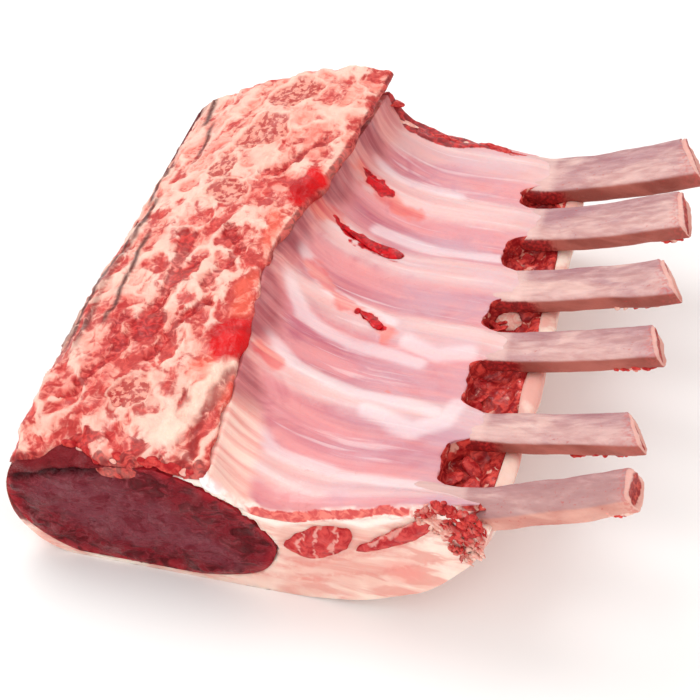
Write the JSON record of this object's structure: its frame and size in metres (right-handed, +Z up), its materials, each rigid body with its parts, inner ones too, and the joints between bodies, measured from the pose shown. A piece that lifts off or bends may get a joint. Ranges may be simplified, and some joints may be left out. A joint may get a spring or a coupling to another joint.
{
  "type": "raw rack of lamb",
  "caption": "Raw frenched rack of lamb lying on its fat side: a long eye of meat under a sawn chine, a skin over the rib hollow, and bare curved rib bones at one side.",
  "frame": {"origin": "on the surface the rack lies on, under the middle of its bounding box", "axes": "+Z up, +X from the sawn chine side to the bone tips, +Y along the backbone from the near cut face to the far one"},
  "size_m": [0.155, 0.157, 0.0551],
  "materials": {
    "lean": "moist raw meat",
    "fat": "soft satin fat",
    "membrane": "wet thin skin over meat",
    "chine_cut": "moist sawn fat, gristle and bone",
    "red_meat": "moist raw meat",
    "bone": "damp scraped bone"
  },
  "bodies": {
    "root": {"eye_muscle": "lean", "fat_cap": "fat", "rib_wall": "membrane", "chine": "chine_cut", "cap_muscle": "red_meat", "flank_muscle": "red_meat", "rib_1": "bone", "rib_2": "bone", "rib_3": "bone", "rib_4": "bone", "rib_5": "bone", "rib_6": "bone"}
  },
  "joints": []
}
